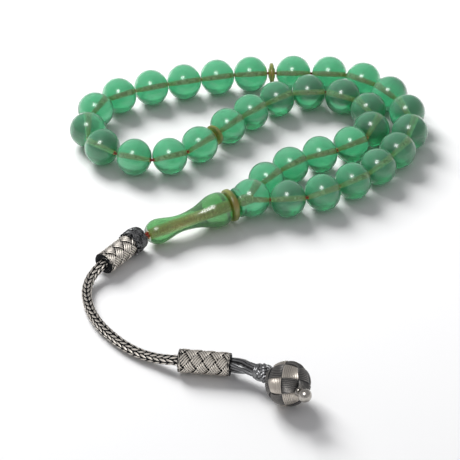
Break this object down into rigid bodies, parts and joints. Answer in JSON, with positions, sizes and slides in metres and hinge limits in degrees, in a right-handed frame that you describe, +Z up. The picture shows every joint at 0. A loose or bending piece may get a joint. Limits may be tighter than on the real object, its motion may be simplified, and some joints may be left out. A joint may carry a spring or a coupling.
{
  "type": "prayer beads",
  "caption": "Misbaha prayer beads: a loop of round resin beads on a thread, with marker discs, a turned imame and a silver tassel of woven sleeves, braided chain and a knotted ball.",
  "frame": {"origin": "on the table that the strand lies on, under the centre of the whole outline", "axes": "+Z up from the table; -Y towards the tassel's ball, so the loop of beads lies on the +Y side; +X to the right with +Y ahead"},
  "size_m": [0.0971, 0.1524, 0.0109],
  "materials": {
    "green_resin": "polished translucent emerald resin",
    "olive_resin": "polished translucent olive resin",
    "red_thread": "twisted waxed thread",
    "dark_silver": "oxidised silver wire, dark in its hollows",
    "woven_silver": "woven and braided silver wire, oxidised between the strands",
    "polished_silver": "polished silver",
    "wooden_core": "plain turned wood"
  },
  "bodies": {
    "strand": {"thread": "red_thread", "thread_knot": "red_thread", "stop_bead": "green_resin"},
    "upper_tassel": {"tassel_cap": "dark_silver", "woven_sleeve_upper": "woven_silver", "chain_1": "woven_silver"},
    "chain_link_1": {"chain_2": "woven_silver"},
    "chain_link_2": {"chain_3": "woven_silver"},
    "chain_link_3": {"chain_4": "woven_silver"},
    "chain_link_4": {"chain_5": "woven_silver"},
    "chain_link_5": {"chain_6": "woven_silver"},
    "lower_tassel": {"woven_sleeve_lower": "woven_silver", "chain_7": "woven_silver"},
    "plies": {"cord_ply_1": "dark_silver", "cord_ply_2": "dark_silver", "cord_ply_3": "dark_silver", "small_knot": "dark_silver"},
    "knot_ball": {"knot_ball": "dark_silver", "knot_ball_core": "wooden_core", "end_wire": "dark_silver", "end_collar": "polished_silver", "end_ball": "polished_silver"},
    "imame": {"imame": "green_resin"},
    "spacer_disc": {"spacer_disc": "olive_resin"},
    "marker_1": {"marker_disc_1": "olive_resin"},
    "marker_2": {"marker_disc_2": "olive_resin"},
    "bead_01": {"bead_01": "green_resin"},
    "bead_02": {"bead_02": "green_resin"},
    "bead_03": {"bead_03": "green_resin"},
    "bead_04": {"bead_04": "green_resin"},
    "bead_05": {"bead_05": "green_resin"},
    "bead_06": {"bead_06": "green_resin"},
    "bead_07": {"bead_07": "green_resin"},
    "bead_08": {"bead_08": "green_resin"},
    "bead_09": {"bead_09": "green_resin"},
    "bead_10": {"bead_10": "green_resin"},
    "bead_11": {"bead_11": "green_resin"},
    "bead_12": {"bead_12": "green_resin"},
    "bead_13": {"bead_13": "green_resin"},
    "bead_14": {"bead_14": "green_resin"},
    "bead_15": {"bead_15": "green_resin"},
    "bead_16": {"bead_16": "green_resin"},
    "bead_17": {"bead_17": "green_resin"},
    "bead_18": {"bead_18": "green_resin"},
    "bead_19": {"bead_19": "green_resin"},
    "bead_20": {"bead_20": "green_resin"},
    "bead_21": {"bead_21": "green_resin"},
    "bead_22": {"bead_22": "green_resin"},
    "bead_23": {"bead_23": "green_resin"},
    "bead_24": {"bead_24": "green_resin"},
    "bead_25": {"bead_25": "green_resin"},
    "bead_26": {"bead_26": "green_resin"},
    "bead_27": {"bead_27": "green_resin"},
    "bead_28": {"bead_28": "green_resin"},
    "bead_29": {"bead_29": "green_resin"},
    "bead_30": {"bead_30": "green_resin"},
    "bead_31": {"bead_31": "green_resin"},
    "bead_32": {"bead_32": "green_resin"},
    "bead_33": {"bead_33": "green_resin"}
  },
  "joints": [
    {"name": "cap_swing", "type": "hinge", "parent": "strand", "child": "upper_tassel", "pos_m": [-0.02932, -0.00597, 0.00322], "axis": [0, 0, 1], "range_deg": [-14, 8]},
    {"name": "chain_bend_1", "type": "hinge", "parent": "upper_tassel", "child": "chain_link_1", "pos_m": [-0.03754, -0.01661, 0.00289], "axis": [0, 0, 1], "range_deg": [-15, 10]},
    {"name": "chain_bend_2", "type": "hinge", "parent": "chain_link_1", "child": "chain_link_2", "pos_m": [-0.04114, -0.02559, 0.00132], "axis": [0, 0, 1], "range_deg": [-15, 10]},
    {"name": "chain_bend_3", "type": "hinge", "parent": "chain_link_2", "child": "chain_link_3", "pos_m": [-0.0392, -0.03539, 0.0013], "axis": [0, 0, 1], "range_deg": [-15, 10]},
    {"name": "chain_bend_4", "type": "hinge", "parent": "chain_link_3", "child": "chain_link_4", "pos_m": [-0.03407, -0.04399, 0.0013], "axis": [0, 0, 1], "range_deg": [-15, 10]},
    {"name": "chain_bend_5", "type": "hinge", "parent": "chain_link_4", "child": "chain_link_5", "pos_m": [-0.02681, -0.05086, 0.0013], "axis": [0, 0, 1], "range_deg": [-15, 10]},
    {"name": "chain_bend_6", "type": "hinge", "parent": "chain_link_5", "child": "lower_tassel", "pos_m": [-0.01797, -0.05527, 0.00288], "axis": [0, 0, 1], "range_deg": [-15, 10]},
    {"name": "ply_bend", "type": "hinge", "parent": "lower_tassel", "child": "plies", "pos_m": [-0.0049, -0.0571, 0.00298], "axis": [0, 0, 1], "range_deg": [-12, 12]},
    {"name": "ball_swing", "type": "hinge", "parent": "plies", "child": "knot_ball", "pos_m": [0.00475, -0.06338, 0.00442], "axis": [0, 0, 1], "range_deg": [-12, 12]},
    {"name": "imame_spin", "type": "hinge", "parent": "strand", "child": "imame", "pos_m": [-0.01464, 0.00194, 0.00413], "axis": [-0.8789, -0.474, -0.0543], "continuous": true},
    {"name": "spacer_spin", "type": "hinge", "parent": "strand", "child": "spacer_disc", "pos_m": [-0.00497, 0.00716, 0.00472], "axis": [-0.8789, -0.474, -0.0543], "continuous": true},
    {"name": "marker_1_spin", "type": "hinge", "parent": "strand", "child": "marker_1", "pos_m": [0.00655, 0.07145, 0.00479], "axis": [-0.9991, -0.0434, 0], "continuous": true},
    {"name": "marker_2_spin", "type": "hinge", "parent": "strand", "child": "marker_2", "pos_m": [-0.0094, 0.03995, 0.00479], "axis": [0.6357, 0.7719, 0], "continuous": true},
    {"name": "bead_01_spin", "type": "hinge", "parent": "strand", "child": "bead_01", "pos_m": [0.01005, 0.0099, 0.00479], "axis": [0.9966, 0.0822, 0], "continuous": true},
    {"name": "bead_02_spin", "type": "hinge", "parent": "strand", "child": "bead_02", "pos_m": [0.01915, 0.0128, 0.00479], "axis": [0.8619, 0.507, 0], "continuous": true},
    {"name": "bead_03_spin", "type": "hinge", "parent": "strand", "child": "bead_03", "pos_m": [0.0273, 0.01815, 0.00479], "axis": [0.8074, 0.59, 0], "continuous": true},
    {"name": "bead_04_spin", "type": "hinge", "parent": "strand", "child": "bead_04", "pos_m": [0.03425, 0.02475, 0.00479], "axis": [0.631, 0.7758, 0], "continuous": true},
    {"name": "bead_05_spin", "type": "hinge", "parent": "strand", "child": "bead_05", "pos_m": [0.0399, 0.03265, 0.00479], "axis": [0.5309, 0.8474, 0], "continuous": true},
    {"name": "bead_06_spin", "type": "hinge", "parent": "strand", "child": "bead_06", "pos_m": [0.0437, 0.0416, 0.00479], "axis": [0.2425, 0.9701, 0], "continuous": true},
    {"name": "bead_07_spin", "type": "hinge", "parent": "strand", "child": "bead_07", "pos_m": [0.04345, 0.05145, 0.00479], "axis": [-0.276, 0.9612, 0], "continuous": true},
    {"name": "bead_08_spin", "type": "hinge", "parent": "strand", "child": "bead_08", "pos_m": [0.03915, 0.0607, 0.00479], "axis": [-0.5615, 0.8275, 0], "continuous": true},
    {"name": "bead_09_spin", "type": "hinge", "parent": "strand", "child": "bead_09", "pos_m": [0.0321, 0.0678, 0.00479], "axis": [-0.8229, 0.5682, 0], "continuous": true},
    {"name": "bead_10_spin", "type": "hinge", "parent": "strand", "child": "bead_10", "pos_m": [0.02275, 0.07105, 0.00479], "axis": [-0.9977, 0.0678, 0], "continuous": true},
    {"name": "bead_11_spin", "type": "hinge", "parent": "strand", "child": "bead_11", "pos_m": [0.01265, 0.07145, 0.00479], "axis": [-0.9999, 0.0101, 0], "continuous": true},
    {"name": "bead_12_spin", "type": "hinge", "parent": "strand", "child": "bead_12", "pos_m": [0.00065, 0.07095, 0.00479], "axis": [-0.9955, -0.0943, 0], "continuous": true},
    {"name": "bead_13_spin", "type": "hinge", "parent": "strand", "child": "bead_13", "pos_m": [-0.00875, 0.06935, 0.00479], "axis": [-0.9708, -0.2401, 0], "continuous": true},
    {"name": "bead_14_spin", "type": "hinge", "parent": "strand", "child": "bead_14", "pos_m": [-0.018, 0.0669, 0.00479], "axis": [-0.9623, -0.272, 0], "continuous": true},
    {"name": "bead_15_spin", "type": "hinge", "parent": "strand", "child": "bead_15", "pos_m": [-0.0271, 0.06395, 0.00479], "axis": [-0.9389, -0.3443, 0], "continuous": true},
    {"name": "bead_16_spin", "type": "hinge", "parent": "strand", "child": "bead_16", "pos_m": [-0.0359, 0.05975, 0.00479], "axis": [-0.8601, -0.5101, 0], "continuous": true},
    {"name": "bead_17_spin", "type": "hinge", "parent": "strand", "child": "bead_17", "pos_m": [-0.0421, 0.0525, 0.00479], "axis": [-0.3748, -0.9271, 0], "continuous": true},
    {"name": "bead_18_spin", "type": "hinge", "parent": "strand", "child": "bead_18", "pos_m": [-0.04375, 0.04265, 0.00479], "axis": [0.0485, -0.9988, 0], "continuous": true},
    {"name": "bead_19_spin", "type": "hinge", "parent": "strand", "child": "bead_19", "pos_m": [-0.03955, 0.0342, 0.00479], "axis": [0.7674, -0.6411, 0], "continuous": true},
    {"name": "bead_20_spin", "type": "hinge", "parent": "strand", "child": "bead_20", "pos_m": [-0.0308, 0.02935, 0.00479], "axis": [0.9516, -0.3073, 0], "continuous": true},
    {"name": "bead_21_spin", "type": "hinge", "parent": "strand", "child": "bead_21", "pos_m": [-0.0213, 0.02975, 0.00479], "axis": [0.9237, 0.3832, 0], "continuous": true},
    {"name": "bead_22_spin", "type": "hinge", "parent": "strand", "child": "bead_22", "pos_m": [-0.01335, 0.0354, 0.00479], "axis": [0.6599, 0.7513, 0], "continuous": true},
    {"name": "bead_23_spin", "type": "hinge", "parent": "strand", "child": "bead_23", "pos_m": [-0.00575, 0.04445, 0.00479], "axis": [0.6286, 0.7777, 0], "continuous": true},
    {"name": "bead_24_spin", "type": "hinge", "parent": "strand", "child": "bead_24", "pos_m": [0.00055, 0.0515, 0.00479], "axis": [0.7018, 0.7123, 0], "continuous": true},
    {"name": "bead_25_spin", "type": "hinge", "parent": "strand", "child": "bead_25", "pos_m": [0.0078, 0.05805, 0.00479], "axis": [0.7779, 0.6283, 0], "continuous": true},
    {"name": "bead_26_spin", "type": "hinge", "parent": "strand", "child": "bead_26", "pos_m": [0.01665, 0.0615, 0.00479], "axis": [0.9982, 0.0605, 0], "continuous": true},
    {"name": "bead_27_spin", "type": "hinge", "parent": "strand", "child": "bead_27", "pos_m": [0.0261, 0.0594, 0.00479], "axis": [0.8824, -0.4706, 0], "continuous": true},
    {"name": "bead_28_spin", "type": "hinge", "parent": "strand", "child": "bead_28", "pos_m": [0.03285, 0.0524, 0.00479], "axis": [0.4394, -0.8983, 0], "continuous": true},
    {"name": "bead_29_spin", "type": "hinge", "parent": "strand", "child": "bead_29", "pos_m": [0.03335, 0.043, 0.00479], "axis": [-0.3425, -0.9395, 0], "continuous": true},
    {"name": "bead_30_spin", "type": "hinge", "parent": "strand", "child": "bead_30", "pos_m": [0.02745, 0.03535, 0.00479], "axis": [-0.8243, -0.5661, 0], "continuous": true},
    {"name": "bead_31_spin", "type": "hinge", "parent": "strand", "child": "bead_31", "pos_m": [0.0189, 0.0306, 0.00479], "axis": [-0.9181, -0.3964, 0], "continuous": true},
    {"name": "bead_32_spin", "type": "hinge", "parent": "strand", "child": "bead_32", "pos_m": [0.01095, 0.0255, 0.00479], "axis": [-0.7428, -0.6695, 0], "continuous": true},
    {"name": "bead_33_spin", "type": "hinge", "parent": "strand", "child": "bead_33", "pos_m": [0.0045, 0.0185, 0.00479], "axis": [-0.6067, -0.795, 0], "continuous": true}
  ]
}
